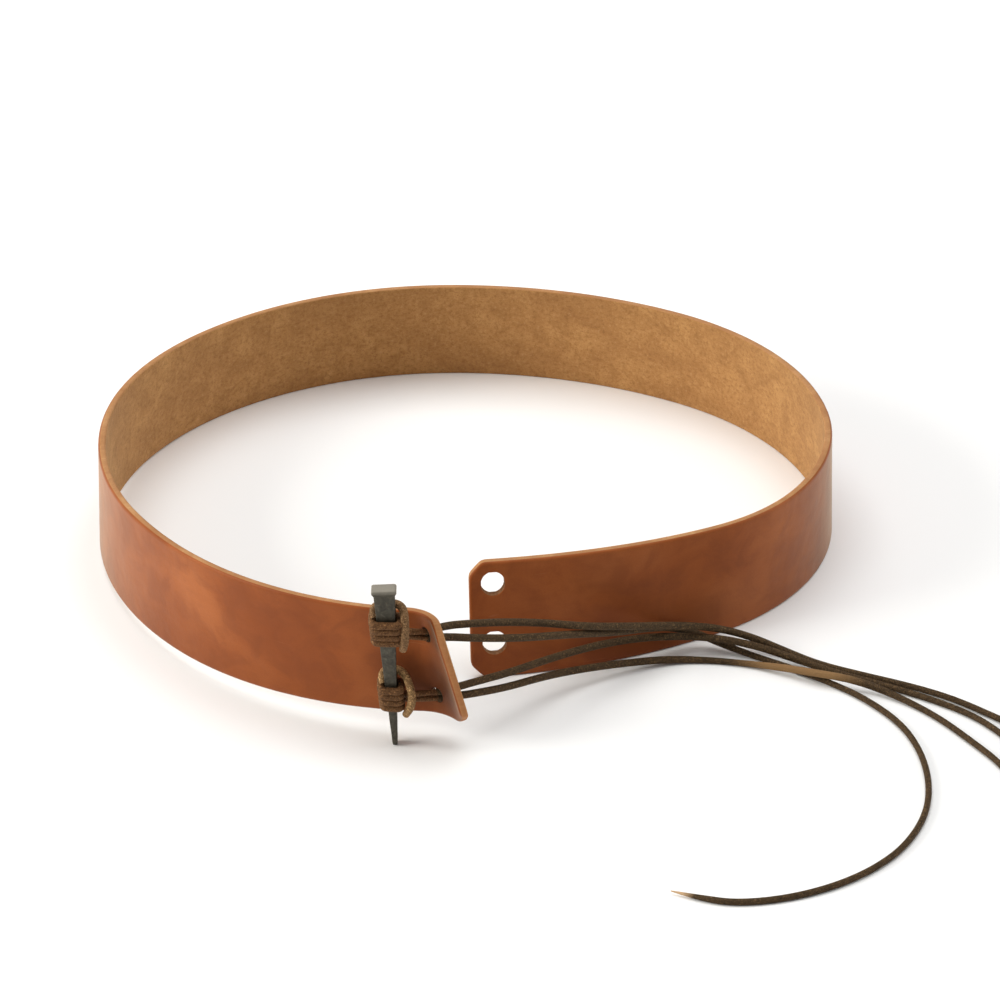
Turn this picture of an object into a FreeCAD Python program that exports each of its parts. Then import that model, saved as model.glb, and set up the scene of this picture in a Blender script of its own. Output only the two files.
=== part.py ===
import FreeCAD, Part
import math
import os
from FreeCAD import Vector

# A leather waist belt standing on its edge: one strap bent into an open loop, and a cut nail
# that two leather laces lash to the strap's left end as a toggle. The four lace tails run past
# the right end and along the floor.
# Millimetres. +X is to the wearer's left, +Y is the middle of the back, +Z is up. The origin is
# under the middle of the belt, on the floor.

# ---- driving dimensions -------------------------------------------------------------------
STRAP_HEIGHT = 45.0
STRAP_THICK = 3.0
MID_BACK = (-7.0, 149.5)        # plan place of the strap's middle
# Tangent arcs (length, radius) from the middle of the back round to each end.
LEFT_ARCS = ((100.0, 139.0), (110.0, 129.0), (110.0, 157.0))
LEFT_LAST_RADIUS = 137.0
LEFT_LENGTH = 449.0
RIGHT_ARCS = ((100.0, 174.0), (110.0, 119.0), (110.0, 101.0))
RIGHT_LAST_RADIUS = 221.0
RIGHT_LENGTH = 418.0
FLEX_AT = 285.0                 # where each wing starts to bend, along the strap
BACK_LEAN = -9.9                # degrees, top inward at the middle of the back
LEAN_FADE = 0.65                # power that keeps the lean up towards the sides
LEFT_END_LEAN = 6.5             # degrees, top outward
RIGHT_END_LEAN = -11.0          # degrees, top inward
LEFT_LIFT = 10.0                # the nail's point holds the left end this far off the floor
LIFT_START = 100.0
# The left tip curls outward as a cone: length and radius of the curl at each edge.
CURL_BOTTOM = (24.5, 19.5)
CURL_TOP = (29.0, 17.8)
SPLIT_GAP = 0.08
BACK_SPACING = 18.0             # sections along the back, the wings and the curled tip
WING_SPACING = 12.0
CURL_SPACING = 3.0

RIGHT_HOLE_DIAMETER = 9.0
LEFT_HOLE_DIAMETER = 7.0
RIGHT_CORNER_CLIP = 5.0
LEFT_CORNER_CLIP = 6.5
RIGHT_HOLES_FROM_END = 9.0
RIGHT_HOLE_HEIGHTS = (13.5, 36.5)
LEFT_HOLES_FROM_END = 16.5
LEFT_HOLE_HEIGHTS = (9.0, 36.0)

LACE = 2.8
LACE_SECTION = math.pi * LACE ** 2 / 4.0
RUNNING_GAP = 0.06
SOCKET_GAP = 0.12
FUSE_TOLERANCE = 1e-4
PULLED = 0.05                   # a strand pulled tight is this much thinner in radius

NAIL_LENGTH = 70.0
NAIL_THICK = 3.8
NAIL_TOP_WIDTH = 7.7
NAIL_TIP_WIDTH = 1.8
NAIL_HEAD_WIDTH = 8.8
NAIL_HEAD_THICK = 4.8
NAIL_HEAD_HEIGHT = 2.6
NAIL_HEAD_FLARE = 1.5           # the head starts to widen this far under its neck
NAIL_HEAD_EDGE = 1.2            # its upright edge
NAIL_POINT = Vector(-24.7, -139.2, 0.29)
NAIL_SIDE_TILT = 2.4            # degrees, head toward -X
NAIL_LEAN = 7.2                 # degrees, head toward -Y
WRAP_TURNS = 4
WRAP_PITCH = 2.7
UPPER_WRAP_AT = 52.0            # middle of the turns, up the nail from its point
LOWER_WRAP_AT = 22.6
UPPER_FEED_DROP = 2.7           # the strands leave the wrap this far under its middle
LOWER_FEED_DROP = 2.0
# The lace's locking end, as (across, depth, up) from the corner where the strands leave.
LOCK_PATH = ((0.6, 1.2, 7.0), (1.0, -0.6, -1.9), (0.4, 0.4, -7.5))

FLOOR_Z = LACE / 2.0            # centre of a lace that lies on the floor
# Routes of the four tails after their hole, along the belt's front and over the floor.
UPPER_CURLED_ROUTE = (
    (-7.5, -136.6, 43.0), (5.0, -132.8, 40.0), (20.0, -125.2, 35.4), (38.0, -112.1, 29.0),
    (55.0, -98.4, 21.5), (67.0, -86.2, 16.0), (76.0, -78.0, 11.4), (86.0, -73.8, 6.2),
    (96.0, -76.0, 2.4), (106.0, -81.2, FLOOR_Z), (119.0, -89.4, FLOOR_Z), (133.0, -99.8, FLOOR_Z),
    (145.0, -110.6, FLOOR_Z), (157.0, -127.6, FLOOR_Z), (162.5, -146.6, FLOOR_Z),
    (163.5, -167.6, FLOOR_Z), (160.0, -187.6, FLOOR_Z), (151.0, -206.1, FLOOR_Z),
    (139.0, -219.6, FLOOR_Z), (125.0, -229.4, FLOOR_Z), (109.0, -236.2, FLOOR_Z),
    (92.0, -239.0, FLOOR_Z), (80.0, -236.2, FLOOR_Z), (70.0, -231.9, FLOOR_Z))
UPPER_STRAIGHT_ROUTE = (
    (-7.5, -134.6, 46.2), (2.0, -129.0, 43.8), (15.0, -122.0, 40.2), (29.0, -113.2, 34.5),
    (43.0, -108.6, 30.2), (60.0, -97.0, 23.2), (78.0, -83.2, 15.4), (93.0, -76.4, 10.2),
    (106.0, -76.0, 6.0), (118.0, -80.0, 2.4), (130.0, -87.2, FLOOR_Z),
    (146.0, -95.0, FLOOR_Z), (162.0, -102.2, FLOOR_Z), (177.0, -110.8, FLOOR_Z),
    (191.0, -123.2, FLOOR_Z))
LOWER_HIGH_ROUTE = (
    (-4.5, -134.2, 19.9), (5.0, -127.6, 19.0), (16.0, -119.2, 17.2), (31.0, -105.0, 14.5),
    (48.0, -91.4, 11.8), (64.0, -82.9, 9.7), (79.0, -79.5, 8.5), (95.0, -79.2, 7.2),
    (110.0, -82.5, 5.2), (122.0, -86.2, 2.4), (137.0, -93.8, FLOOR_Z),
    (154.0, -102.4, FLOOR_Z), (170.0, -112.0, FLOOR_Z), (183.0, -122.0, FLOOR_Z),
    (191.8, -133.6, FLOOR_Z), (196.8, -144.1, FLOOR_Z))
LOWER_LOW_ROUTE = (
    (-4.5, -134.6, 16.7), (5.0, -129.8, 15.4), (16.0, -121.6, 12.8), (28.0, -110.2, 9.8),
    (42.0, -100.4, 7.0), (59.0, -91.2, 4.0), (75.0, -85.2, 1.9), (90.0, -84.5, FLOOR_Z),
    (105.0, -87.2, FLOOR_Z), (118.0, -93.0, 2.8), (129.0, -99.2, 4.4),
    (140.0, -102.6, 4.3), (150.0, -105.6, 2.4), (162.0, -114.2, FLOOR_Z),
    (172.0, -125.6, FLOOR_Z), (181.0, -139.6, FLOOR_Z), (189.6, -153.6, FLOOR_Z),
    (193.6, -166.6, FLOOR_Z), (195.2, -180.1, FLOOR_Z), (196.4, -194.1, FLOOR_Z))
# Coils of spare lace: centre, angle at which the lace joins the outer turn, and turns inward.
UPPER_COIL = (217.9, -124.2, 215.0, 1.85)
LOWER_HIGH_COIL = (217.0, -166.1, 180.0, 1.52)
LOWER_LOW_COIL = (216.0, -208.1, 180.0, 1.24)
COIL_OUTER_TURN = 18.2          # radius of the outer turn's middle


# ---- the strap's shape --------------------------------------------------------------------
def smooth_step(value):
    value = min(max(value, 0.0), 1.0)
    return value * value * (3.0 - 2.0 * value)


def arcs_of(side, height):
    """The tangent arcs of one side, at a height from 0 (bottom edge) to 1 (top edge)."""
    if side == "right":
        rest = RIGHT_LENGTH - sum(length for length, _ in RIGHT_ARCS)
        return RIGHT_ARCS + ((rest, RIGHT_LAST_RADIUS),)
    curl, radius = [low + (high - low) * height for low, high in zip(CURL_BOTTOM, CURL_TOP)]
    rest = LEFT_LENGTH - curl - sum(length for length, _ in LEFT_ARCS)
    return LEFT_ARCS + ((rest, LEFT_LAST_RADIUS), (curl, -radius))


def plan_point(side, distance, height=0.0):
    """Plan place and outward normal of the strap's middle plane, `distance` from mid-back."""
    along, inward, turned = 0.0, 0.0, 0.0
    left = distance
    arcs = arcs_of(side, height)
    for index, (length, radius) in enumerate(arcs):
        last = index == len(arcs) - 1
        step = left if last else min(left, length)
        after = turned + step / radius
        along += radius * (math.sin(after) - math.sin(turned))
        inward += radius * (math.cos(turned) - math.cos(after))
        turned = after
        left -= step
        if left <= 0.0:
            break
    sign = 1.0 if side == "right" else -1.0
    place = Vector(MID_BACK[0] + sign * along, MID_BACK[1] - inward, 0.0)
    outward = Vector(sign * math.sin(turned), math.cos(turned), 0.0)
    return place, outward


def lean_at(side, distance):
    """Lean of the strap's face in radians, positive with the top outward."""
    if distance < FLEX_AT:
        fade = (1.0 + math.cos(math.pi * distance / FLEX_AT)) / 2.0
        return math.radians(BACK_LEAN) * max(fade, 0.0) ** LEAN_FADE
    length, lean = {"left": (LEFT_LENGTH, LEFT_END_LEAN), "right": (RIGHT_LENGTH, RIGHT_END_LEAN)}[side]
    return math.radians(lean) * smooth_step((distance - FLEX_AT) / (length - FLEX_AT))


def lift_at(side, distance):
    """Height of the bottom edge over the floor, and its slope along the strap."""
    if side == "right" or distance < LIFT_START:
        return 0.0, 0.0
    reach = (distance - LIFT_START) / (LEFT_LENGTH - LIFT_START)
    return LEFT_LIFT * reach ** 1.5, 1.5 * LEFT_LIFT * reach ** 0.5 / (LEFT_LENGTH - LIFT_START)


def strap_point(side, distance, height, depth=0.0):
    """A point of the strap: `height` from 0 to 1 up its width, `depth` outward of its middle."""
    lift, slope = lift_at(side, distance)
    lean = lean_at(side, distance)
    place, outward = plan_point(side, distance - height * STRAP_HEIGHT * slope, height)
    rise = height * STRAP_HEIGHT
    place = place + outward * (rise * math.sin(lean) + depth)
    return place + Vector(0.0, 0.0, lift + rise * math.cos(lean))


def section(side, distance):
    """Cross-section of the strap: a closed four-sided wire."""
    low = strap_point(side, distance, 0.0)
    high = strap_point(side, distance, 1.0)
    _, out_low = plan_point(side, distance, 0.0)
    _, out_high = plan_point(side, distance, 1.0)
    across = (out_low + out_high).normalize() * (STRAP_THICK / 2.0)
    return Part.makePolygon([low - across, low + across, high + across, high - across, low - across])


def stations(start, end, spacing):
    count = max(2, int(math.ceil(abs(end - start) / spacing)))
    return [start + (end - start) * step / count for step in range(count + 1)]


def strap_piece(places):
    """Solid strap through (side, distance) places in order."""
    return Part.makeLoft([section(side, distance) for side, distance in places], True, False)


def face_frame(side, distance, height):
    """Place on the strap's middle plane with its along, up and outward directions."""
    place = strap_point(side, distance, height)
    nudge = 0.5
    along = (strap_point(side, distance + nudge, height) - place).normalize()
    up = (strap_point(side, distance, height + nudge / STRAP_HEIGHT) - place).normalize()
    outward = up.cross(along) if side == "right" else along.cross(up)
    return place, along, up, outward.normalize()


def round_hole(side, distance, height, diameter):
    """Cutter for a punched hole through the strap."""
    place, _, _, outward = face_frame(side, distance, height / STRAP_HEIGHT)
    reach = 3.0 * STRAP_THICK
    return Part.makeCylinder(diameter / 2.0, 2.0 * reach, place - outward * reach, outward)


def corner_cutter(side, distance, height, clip):
    """Cutter that takes a 45 degree clip off a corner of the strap's end."""
    place, along, up, outward = face_frame(side, distance, height)
    upward = up if height > 0.5 else up * -1.0
    far = 4.0 * clip
    first = place - along * clip
    second = place - upward * clip
    slant = (second - first).normalize()
    first = first - slant * far
    second = second + slant * far
    beyond = (along + upward).normalize() * far
    outline = [first, second, second + beyond, first + beyond, first]
    reach = outward * (4.0 * STRAP_THICK)
    return Part.Face(Part.makePolygon([corner - reach for corner in outline])).extrude(reach * 2.0)


def strap_back():
    half = [("right", distance) for distance in stations(FLEX_AT - SPLIT_GAP, BACK_SPACING, BACK_SPACING)]
    other = [("left", distance) for distance in stations(0.0, FLEX_AT - SPLIT_GAP, BACK_SPACING)]
    return strap_piece(half + other)


def strap_left():
    curl_start = LEFT_LENGTH - CURL_TOP[0] - CURL_SPACING
    places = stations(FLEX_AT, curl_start, WING_SPACING)[:-1]
    places = places + stations(curl_start, LEFT_LENGTH, CURL_SPACING)
    shape = strap_piece([("left", distance) for distance in places])
    hole_at = LEFT_LENGTH - LEFT_HOLES_FROM_END
    for height in LEFT_HOLE_HEIGHTS:
        shape = shape.cut(round_hole("left", hole_at, height, LEFT_HOLE_DIAMETER))
    for height in (0.0, 1.0):
        shape = shape.cut(corner_cutter("left", LEFT_LENGTH, height, LEFT_CORNER_CLIP))
    return shape


def strap_right():
    places = [("right", distance) for distance in stations(FLEX_AT, RIGHT_LENGTH, WING_SPACING)]
    shape = strap_piece(places)
    hole_at = RIGHT_LENGTH - RIGHT_HOLES_FROM_END
    for height in RIGHT_HOLE_HEIGHTS:
        shape = shape.cut(round_hole("right", hole_at, height, RIGHT_HOLE_DIAMETER))
    for height in (0.0, 1.0):
        shape = shape.cut(corner_cutter("right", RIGHT_LENGTH, height, RIGHT_CORNER_CLIP))
    return shape


# ---- the nail and its lashings ------------------------------------------------------------
def nail_axes():
    """Width, depth (toward the belt) and length directions of the nail."""
    turn = FreeCAD.Rotation(Vector(0, 1, 0), -NAIL_SIDE_TILT)
    lean = FreeCAD.Rotation(Vector(1, 0, 0), NAIL_LEAN)
    both = turn.multiply(lean)
    return both.multVec(Vector(1, 0, 0)), both.multVec(Vector(0, 1, 0)), both.multVec(Vector(0, 0, 1))


def nail_width(up):
    return NAIL_TIP_WIDTH + (NAIL_TOP_WIDTH - NAIL_TIP_WIDTH) * up / NAIL_LENGTH


def on_nail(across, depth, up):
    wide, deep, long = nail_axes()
    return NAIL_POINT + wide * across + deep * depth + long * up


def nail_slice(width, thick, up):
    corners = [(-1, -1), (1, -1), (1, 1), (-1, 1), (-1, -1)]
    return Part.makePolygon([on_nail(a * width / 2.0, b * thick / 2.0, up) for a, b in corners])


def nail():
    neck = NAIL_LENGTH - NAIL_HEAD_HEIGHT
    shank = Part.makeLoft([nail_slice(NAIL_TIP_WIDTH, NAIL_THICK, 0.0),
                           nail_slice(nail_width(neck), NAIL_THICK, neck)], True, True)
    head = Part.makeLoft([nail_slice(nail_width(neck), NAIL_THICK, neck - NAIL_HEAD_FLARE),
                          nail_slice(NAIL_HEAD_WIDTH, NAIL_HEAD_THICK, NAIL_LENGTH - NAIL_HEAD_EDGE),
                          nail_slice(NAIL_HEAD_WIDTH, NAIL_HEAD_THICK, NAIL_LENGTH)], True, True)
    return shank.fuse(head).removeSplitter()


def wrap_turn(up):
    """One turn of lace round the nail: a ring of round section, clear of the nail."""
    wide, deep, long = nail_axes()
    half_wide = nail_width(up + LACE / 2.0) / 2.0 + RUNNING_GAP
    half_deep = NAIL_THICK / 2.0 + RUNNING_GAP
    bend = LACE / 2.0
    corners = ((1, 1), (-1, 1), (-1, -1), (1, -1))
    edges = []
    count = len(corners)
    for index in range(count):
        a, b = corners[index]
        c, d = corners[(index + 1) % count]
        if a == c:
            start = on_nail(a * (half_wide + bend), b * half_deep, up)
            end = on_nail(a * (half_wide + bend), d * half_deep, up)
        else:
            start = on_nail(a * half_wide, b * (half_deep + bend), up)
            end = on_nail(c * half_wide, b * (half_deep + bend), up)
        edges.append(Part.LineSegment(start, end).toShape())
        corner_mid = math.sqrt(0.5) * bend
        if a == c:
            after = on_nail(c * half_wide, d * (half_deep + bend), up)
        else:
            after = on_nail(c * (half_wide + bend), d * half_deep, up)
        middle = on_nail(c * (half_wide + corner_mid), d * (half_deep + corner_mid), up)
        edges.append(Part.Arc(end, middle, after).toShape())
    path = Part.Wire(edges)
    start = edges[0].valueAt(edges[0].FirstParameter)
    tangent = edges[0].tangentAt(edges[0].FirstParameter)
    ring = Part.Wire(Part.makeCircle(LACE / 2.0, start, tangent))
    return path.makePipeShell([ring], True, False, 1)


def rod(start, end):
    """A straight stretch of tight lace with round ends."""
    radius = LACE / 2.0 - PULLED
    body = Part.makeCylinder(radius, start.distanceToPoint(end), start, end - start)
    return body.multiFuse([Part.makeSphere(radius, place) for place in (start, end)])


def pivots(which):
    """Where a lace's two strands enter their hole: both lie on the toggle's swing axis."""
    centres = []
    for height in LEFT_HOLE_HEIGHTS:
        distance = LEFT_LENGTH - LEFT_HOLES_FROM_END
        centres.append(strap_point("left", distance, height / STRAP_HEIGHT, STRAP_THICK / 2.0))
    axis = (centres[1] - centres[0]).normalize()
    middle = centres[{"lower": 0, "upper": 1}[which]]
    apart = axis * (LACE / 2.0 + RUNNING_GAP)
    return middle + apart, middle - apart


def thong_wrap(which):
    """The front of one lace: four turns on the nail, the strands to the hole, the locking end."""
    middle = {"upper": UPPER_WRAP_AT, "lower": LOWER_WRAP_AT}[which]
    drop = {"upper": UPPER_FEED_DROP, "lower": LOWER_FEED_DROP}[which]
    lowest = middle - (WRAP_TURNS - 1) / 2.0 * WRAP_PITCH
    rings = [wrap_turn(lowest + turn * WRAP_PITCH) for turn in range(WRAP_TURNS)]
    side = nail_width(middle) / 2.0 + RUNNING_GAP + LACE / 2.0
    strands = []
    for strand, end in enumerate(pivots(which)):
        up = middle - drop + (0.5 - strand) * WRAP_PITCH
        strands.append(rod(on_nail(side, 0.0, up), end))
    front = -(NAIL_THICK / 2.0 + RUNNING_GAP + LACE / 2.0)
    lock = [on_nail(side + across, front + depth, middle + up) for across, depth, up in LOCK_PATH]
    locking_end = rod(lock[0], lock[1]).fuse(rod(lock[1], lock[2]))
    turns = rings[0].multiFuse(rings[1:])
    return turns.multiFuse([strands[0].fuse(strands[1]), locking_end], FUSE_TOLERANCE)


# ---- the free tails -----------------------------------------------------------------------
def route_wire(points, name):
    """Straight runs joined by tangent arcs, each as large as its two runs allow."""
    edges = []
    radii = []
    start = points[0]
    for before, corner, after in zip(points, points[1:], points[2:]):
        run_in = corner - before
        run_out = after - corner
        turn = run_in.getAngle(run_out)
        reach = 0.45 * min(run_in.Length, run_out.Length)
        radii.append(reach / math.tan(turn / 2.0))
        entry = corner - run_in.normalize() * reach
        leave = corner + run_out.normalize() * reach
        bisector = (leave - corner + entry - corner).normalize()
        inset = radii[-1] * (1.0 / math.cos(turn / 2.0) - 1.0)
        edges.append(Part.LineSegment(start, entry).toShape())
        edges.append(Part.Arc(entry, corner + bisector * inset, leave).toShape())
        start = leave
    edges.append(Part.LineSegment(start, points[-1]).toShape())
    wire = Part.Wire(edges)
    print(name, "length", round(wire.Length, 1), "radii", [round(radius) for radius in radii])
    return wire


def tail(name, pivot, route, coil=None):
    """A free tail from its pivot in the hole, to its cut end or to the coil's outer turn."""
    points = [pivot] + [Vector(*place) for place in route]
    if coil:
        points.append(coil_place(coil, 0.0, COIL_OUTER_TURN))
    wire = route_wire(points, name)
    first = wire.Edges[0]
    ring = Part.Wire(Part.makeCircle(LACE / 2.0, points[0], first.tangentAt(first.FirstParameter)))
    tube = wire.makePipeShell([ring], True, False)
    socket = Part.makeSphere(LACE / 2.0 + SOCKET_GAP, pivot)
    tube = tube.cut(socket)
    print(name, "volume over section times length", round(tube.Volume / LACE_SECTION / wire.Length, 3))
    return tube


def coil_place(coil, turned, radius):
    """A point of a coil, `turned` degrees on from where the lace joins it."""
    x, y, join, _ = coil
    angle = math.radians(join + turned)
    return Vector(x + radius * math.cos(angle), y + radius * math.sin(angle), FLOOR_Z)


def coil_solid(coil):
    """Outer shape of a flat coil: a ring as thick as the lace."""
    x, y, _, turns = coil
    outer = COIL_OUTER_TURN + LACE / 2.0
    inner = outer - (turns + 1.0) * LACE
    place = Vector(x, y, 0.0)
    return Part.makeCylinder(outer, LACE, place).cut(Part.makeCylinder(inner, LACE, place))


def build():
    upper = pivots("upper")
    lower = pivots("lower")
    return {
        "strap_back": strap_back(),
        "strap_left": strap_left(),
        "strap_right": strap_right(),
        "nail": nail(),
        "upper_thong_wrap": thong_wrap("upper"),
        "lower_thong_wrap": thong_wrap("lower"),
        "upper_tail_curled": tail("upper_tail_curled", upper[1], UPPER_CURLED_ROUTE),
        "upper_tail_straight": tail("upper_tail_straight", upper[0], UPPER_STRAIGHT_ROUTE, UPPER_COIL),
        "lower_tail_high": tail("lower_tail_high", lower[0], LOWER_HIGH_ROUTE, LOWER_HIGH_COIL),
        "lower_tail_low": tail("lower_tail_low", lower[1], LOWER_LOW_ROUTE, LOWER_LOW_COIL),
        "upper_tail_coil": coil_solid(UPPER_COIL),
        "lower_high_coil": coil_solid(LOWER_HIGH_COIL),
        "lower_low_coil": coil_solid(LOWER_LOW_COIL),
    }


if __name__ == "__main__":
    os.makedirs("parts", exist_ok=True)
    for node, shape in build().items():
        bounds = shape.optimalBoundingBox(False)
        print(node, shape.isValid(), len(shape.Solids), round(shape.Volume, 1), bounds)
        shape.exportStep("parts/" + node + ".step")
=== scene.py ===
import math
import bmesh
import bpy
from mathutils import Matrix, Vector, geometry


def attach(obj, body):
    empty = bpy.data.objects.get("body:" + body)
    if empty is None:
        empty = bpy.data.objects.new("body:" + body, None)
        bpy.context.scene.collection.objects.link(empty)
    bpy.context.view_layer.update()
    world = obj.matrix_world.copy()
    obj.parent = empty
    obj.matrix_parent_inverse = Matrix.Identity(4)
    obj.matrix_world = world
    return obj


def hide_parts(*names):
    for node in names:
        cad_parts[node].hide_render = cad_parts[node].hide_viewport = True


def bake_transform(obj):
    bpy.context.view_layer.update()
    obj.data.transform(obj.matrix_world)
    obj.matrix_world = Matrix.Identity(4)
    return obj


# A leather waist belt standing on its edge, with a cut nail lashed to one end as its toggle.
# Lengths in this script are in millimetres, as in the model, and are scaled to metres when a
# mesh or a curve is made. +X is to the wearer's left, +Y is the middle of the back, +Z is up.
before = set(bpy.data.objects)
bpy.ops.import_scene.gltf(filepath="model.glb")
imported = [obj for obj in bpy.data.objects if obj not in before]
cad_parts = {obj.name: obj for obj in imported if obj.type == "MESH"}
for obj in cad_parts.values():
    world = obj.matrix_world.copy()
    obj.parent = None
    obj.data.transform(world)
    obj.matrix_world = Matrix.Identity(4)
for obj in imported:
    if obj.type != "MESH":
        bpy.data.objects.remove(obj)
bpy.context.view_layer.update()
MM = 0.001

# The strap in plan: arcs of (length, radius) from the middle of the back to each end, and the
# radius of what is left. The left end then curls outward: CURL is its length and radius.
STRAP_HEIGHT = 45.0
MID_BACK = (-7.0, 149.5)
LEFT_ARCS = ((100.0, 139.0), (110.0, 129.0), (110.0, 157.0))
LEFT_LAST_RADIUS = 137.0
LEFT_LENGTH = 449.0
RIGHT_ARCS = ((100.0, 174.0), (110.0, 119.0), (110.0, 101.0))
RIGHT_LAST_RADIUS = 221.0
RIGHT_LENGTH = 418.0
CURL_BOTTOM = (24.5, 19.5)
CURL_TOP = (29.0, 17.8)
FLEX_AT = 285.0                  # distance of each flex joint from the middle of the back
BEND_REACH = 55.0                # how far the bend spreads each side of a flex joint
# How the strap leans outward, in degrees: at the back, fading to nothing at the flex joints, and
# at the ends. The left wing also rises off the floor towards its end.
BACK_LEAN = -9.9
LEAN_FADE = 0.65
LEFT_END_LEAN = 6.5
RIGHT_END_LEAN = -11.0
LEFT_LIFT = 10.0
LIFT_START = 100.0
# Holes: from the end, up from the bottom edge, radius, and width as a share of the height.
RIGHT_HOLES = (9.0, (13.5, 36.5), 4.5, 1.0)
LEFT_HOLES = (16.5, (9.0, 36.0), 3.25, 0.76)
RIGHT_CORNER_CLIP = 5.0
LEFT_CORNER_CLIP = 6.5

LACE = 2.8
RUNNING_GAP = 0.06               # between the turns of lace and the nail
NAIL_LENGTH = 70.0
NAIL_THICK = 3.8
NAIL_TOP_WIDTH = 7.7
NAIL_TIP_WIDTH = 1.8
NAIL_HEAD_WIDTH = 8.8
NAIL_HEAD_THICK = 4.8
NAIL_HEAD_HEIGHT = 2.6
CROWN_FROM, CROWN_HEIGHT = 66.2, 4.0     # where the rubbed top of the nail begins, above the floor
NAIL_POINT = Vector((-24.7, -139.2, 0.29))
NAIL_SIDE_TILT = 2.4             # degrees that its head leans towards -X
NAIL_LEAN = 7.2                  # degrees that its head leans towards -Y, out from the strap
WRAP_TURNS = 4
WRAP_PITCH = 2.7                 # height of one lace in a lashing
TURN_DROP = WRAP_PITCH * 0.94    # how far the winding comes down in a turn
WRAP_CLEAR = 0.04                # added to RUNNING_GAP along the nail's sides
CORNER_REACH = 0.76              # share of the sides' reach that the lace has at a corner
# Middle of each lashing, up the nail, and how far below it the strands leave for the hole.
UPPER_WRAP_AT, UPPER_FEED_DROP = 52.0, 2.7
LOWER_WRAP_AT, LOWER_FEED_DROP = 22.6, 2.0
RESTING = 0.82                   # thickness of a lace along the floor, as a share of LACE
CUT_POINT = 0.14                 # the same for the curled tail's pointed end
FLOOR_Z = RESTING * LACE / 2.0

# Where each tail leaves its hole, and the control points of its way from there.
CURLED_START = (-13.075, -138.689, 43.643)
STRAIGHT_START = (-13.470, -139.007, 46.519)
HIGH_START = (-9.788, -136.039, 19.682)
LOW_START = (-9.394, -135.720, 16.807)
UPPER_CURLED_ROUTE = (
    (-7.5, -136.6, 43.0), (5.0, -132.8, 40.0), (20.0, -125.2, 35.4), (38.0, -112.1, 29.0),
    (55.0, -98.4, 21.5), (67.0, -86.2, 16.0), (76.0, -78.0, 11.4), (86.0, -73.8, 6.2),
    (96.0, -76.0, 2.4), (106.0, -81.2, FLOOR_Z), (119.0, -89.4, FLOOR_Z), (133.0, -99.8, FLOOR_Z),
    (145.0, -110.6, FLOOR_Z), (157.0, -127.6, FLOOR_Z), (162.5, -146.6, FLOOR_Z),
    (163.5, -167.6, FLOOR_Z), (160.0, -187.6, FLOOR_Z), (151.0, -206.1, FLOOR_Z),
    (139.0, -219.6, FLOOR_Z), (125.0, -229.4, FLOOR_Z), (109.0, -236.2, FLOOR_Z),
    (92.0, -239.0, FLOOR_Z), (80.0, -236.2, FLOOR_Z), (70.0, -231.9, FLOOR_Z))
UPPER_STRAIGHT_ROUTE = (
    (-7.5, -134.6, 46.2), (2.0, -129.0, 43.8), (15.0, -122.0, 40.2), (29.0, -113.2, 34.5),
    (43.0, -108.6, 30.2), (60.0, -97.0, 23.2), (78.0, -83.2, 15.4), (93.0, -76.4, 10.2),
    (106.0, -76.0, 6.0), (118.0, -80.0, 2.4), (130.0, -87.2, FLOOR_Z),
    (146.0, -95.0, FLOOR_Z), (162.0, -102.2, FLOOR_Z), (177.0, -110.8, FLOOR_Z),
    (191.0, -123.2, FLOOR_Z))
LOWER_HIGH_ROUTE = (
    (-4.5, -134.2, 19.9), (5.0, -127.6, 19.0), (16.0, -119.2, 17.2), (31.0, -105.0, 14.5),
    (48.0, -91.4, 11.8), (64.0, -82.9, 9.7), (79.0, -79.5, 8.5), (95.0, -79.2, 7.2),
    (110.0, -82.5, 5.2), (122.0, -86.2, 2.4), (137.0, -93.8, FLOOR_Z),
    (154.0, -102.4, FLOOR_Z), (170.0, -112.0, FLOOR_Z), (183.0, -122.0, FLOOR_Z),
    (191.8, -133.6, FLOOR_Z), (196.8, -144.1, FLOOR_Z))
LOWER_LOW_ROUTE = (
    (-4.5, -134.6, 16.7), (5.0, -129.8, 15.4), (16.0, -121.6, 12.8), (28.0, -110.2, 9.8),
    (42.0, -100.4, 7.0), (59.0, -91.2, 4.0), (75.0, -85.2, 1.9), (90.0, -84.5, FLOOR_Z),
    (105.0, -87.2, FLOOR_Z), (118.0, -93.0, 2.8), (129.0, -99.2, 4.4),
    (140.0, -102.6, 4.3), (150.0, -105.6, 2.4), (162.0, -114.2, FLOOR_Z),
    (172.0, -125.6, FLOOR_Z), (181.0, -139.6, FLOOR_Z), (189.6, -153.6, FLOOR_Z),
    (193.6, -166.6, FLOOR_Z), (195.2, -180.1, FLOOR_Z), (196.4, -194.1, FLOOR_Z))
# Coils of spare lace: centre, angle where the lace joins the outer turn, number of turns.
UPPER_COIL = (217.9, -124.2, 215.0, 1.85)
LOWER_HIGH_COIL = (217.0, -166.1, 180.0, 1.52)
LOWER_LOW_COIL = (216.0, -208.1, 180.0, 1.24)
COIL_OUTER_TURN = 18.2
COIL_STEP = 24.0                 # degrees between a coil's points


# ---- camera -------------------------------------------------------------------------------
CAMERA_PLACE = (0.01268, -1.2755, 0.7373)      # metres
CAMERA_ANGLE = 15.059                          # degrees across the picture
CAMERA_DOWN = 29.30                            # degrees below level


def make_camera():
    """The camera that took the photograph, fitted to the belt's outline."""
    data = bpy.data.cameras.new("camera")
    data.sensor_width = 36.0
    data.angle = math.radians(CAMERA_ANGLE)
    data.clip_end = 50.0
    camera = bpy.data.objects.new("camera", data)
    camera.location = CAMERA_PLACE
    camera.rotation_euler = (math.radians(90.0 - CAMERA_DOWN), 0.0, 0.0)
    bpy.context.scene.collection.objects.link(camera)
    bpy.context.scene.camera = camera


make_camera()


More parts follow.
